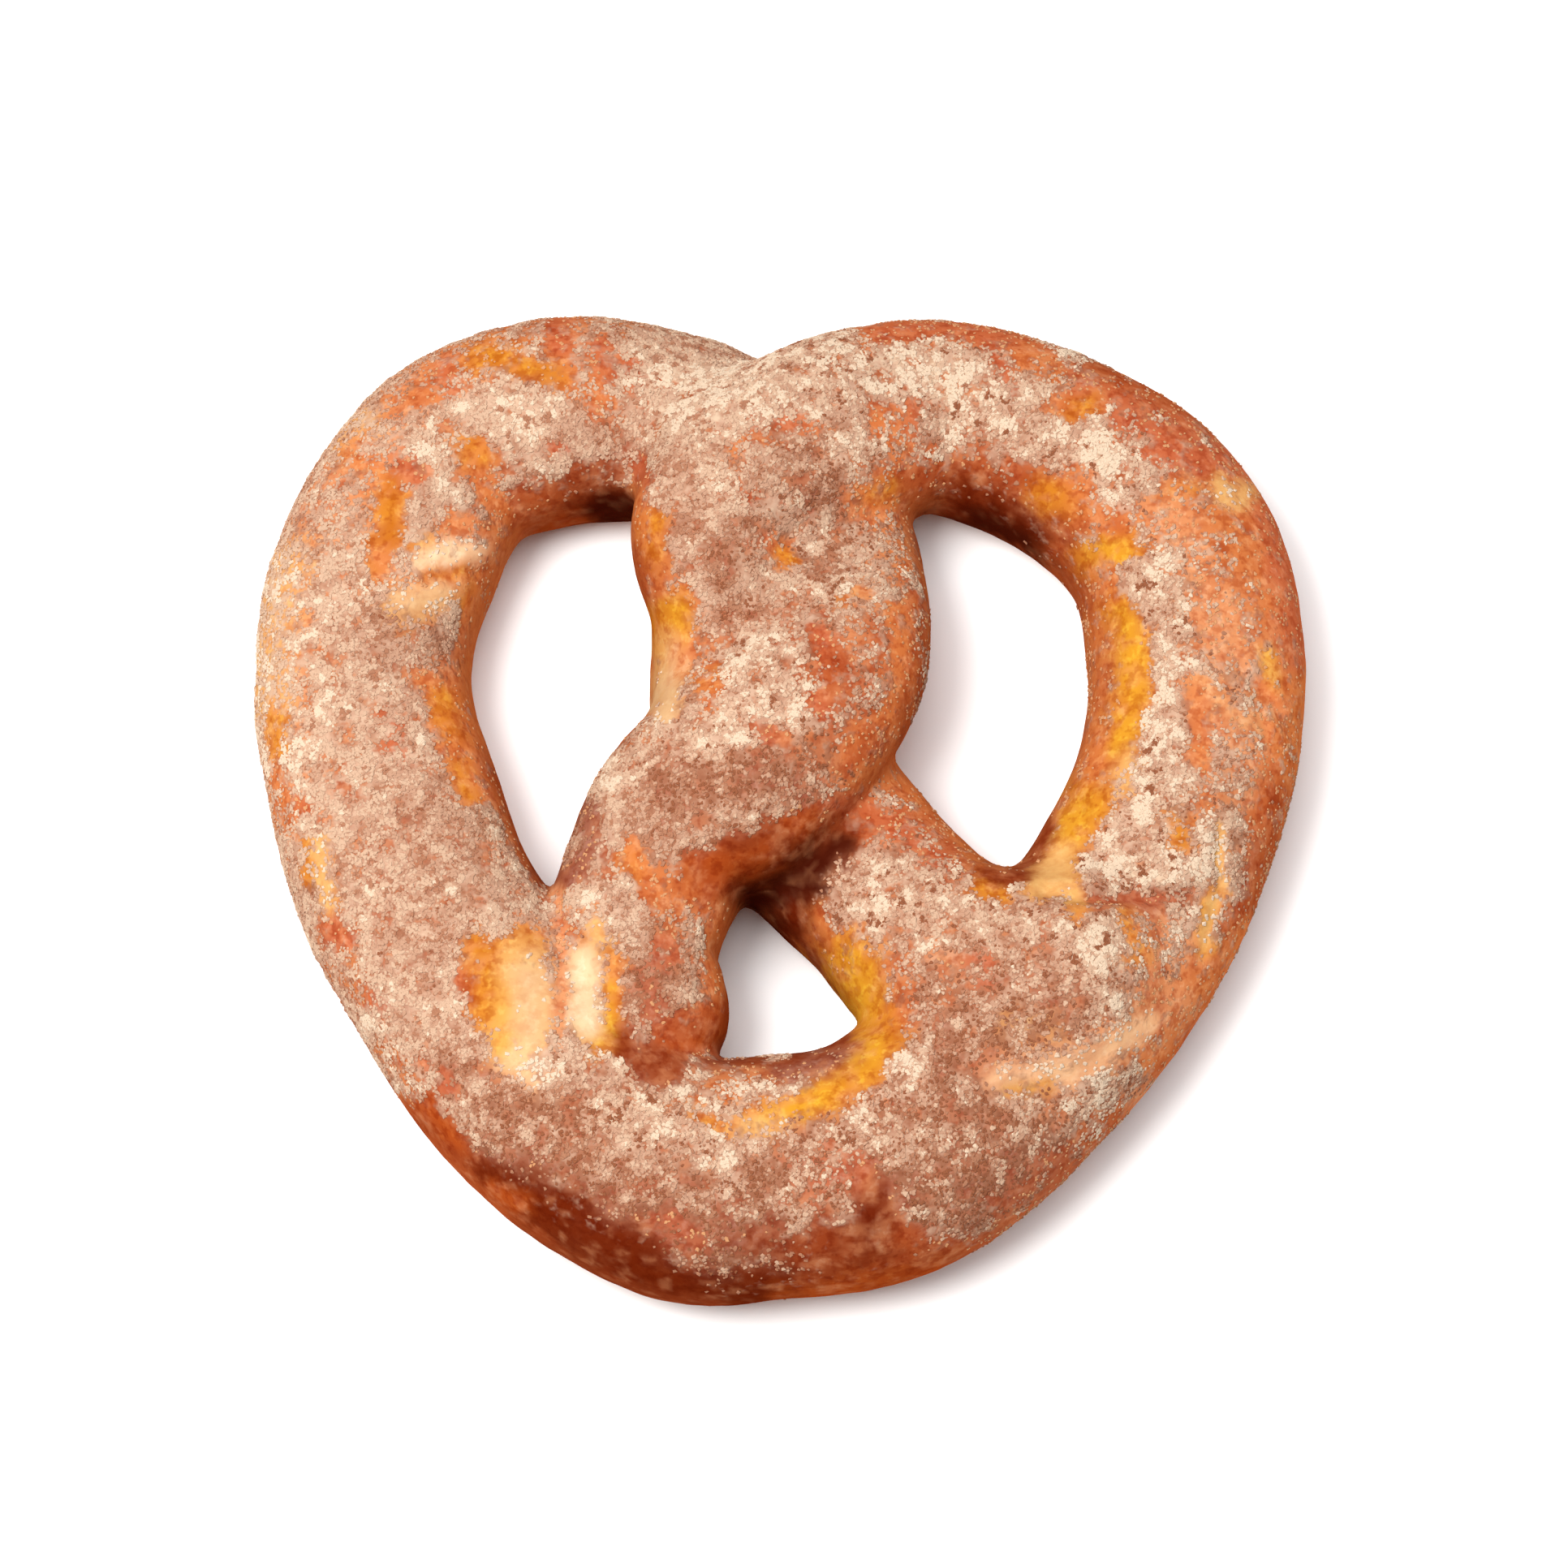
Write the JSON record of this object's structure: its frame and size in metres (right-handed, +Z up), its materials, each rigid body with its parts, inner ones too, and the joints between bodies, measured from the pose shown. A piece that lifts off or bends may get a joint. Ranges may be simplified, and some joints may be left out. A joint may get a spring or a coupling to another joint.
{
  "type": "cinnamon sugar soft pretzel",
  "caption": "Soft pretzel: one rope of baked dough laid in a loop, its arms crossed twice and pressed onto the belly, coated with cinnamon sugar.",
  "frame": {"origin": "middle of the outline, on the table the pretzel rests on", "axes": "+Z up, +X across the pretzel to the right lobe, +Y from the belly to the two lobes"},
  "size_m": [0.151, 0.147, 0.0335],
  "materials": {
    "crust": "baked golden to red-brown crust with a light buttery sheen, pale dough in the folds",
    "sugar": "matte grains of white and tan sugar",
    "cinnamon": "matte brown grains of cinnamon"
  },
  "bodies": {
    "root": {"pretzel": "crust"}
  },
  "joints": []
}
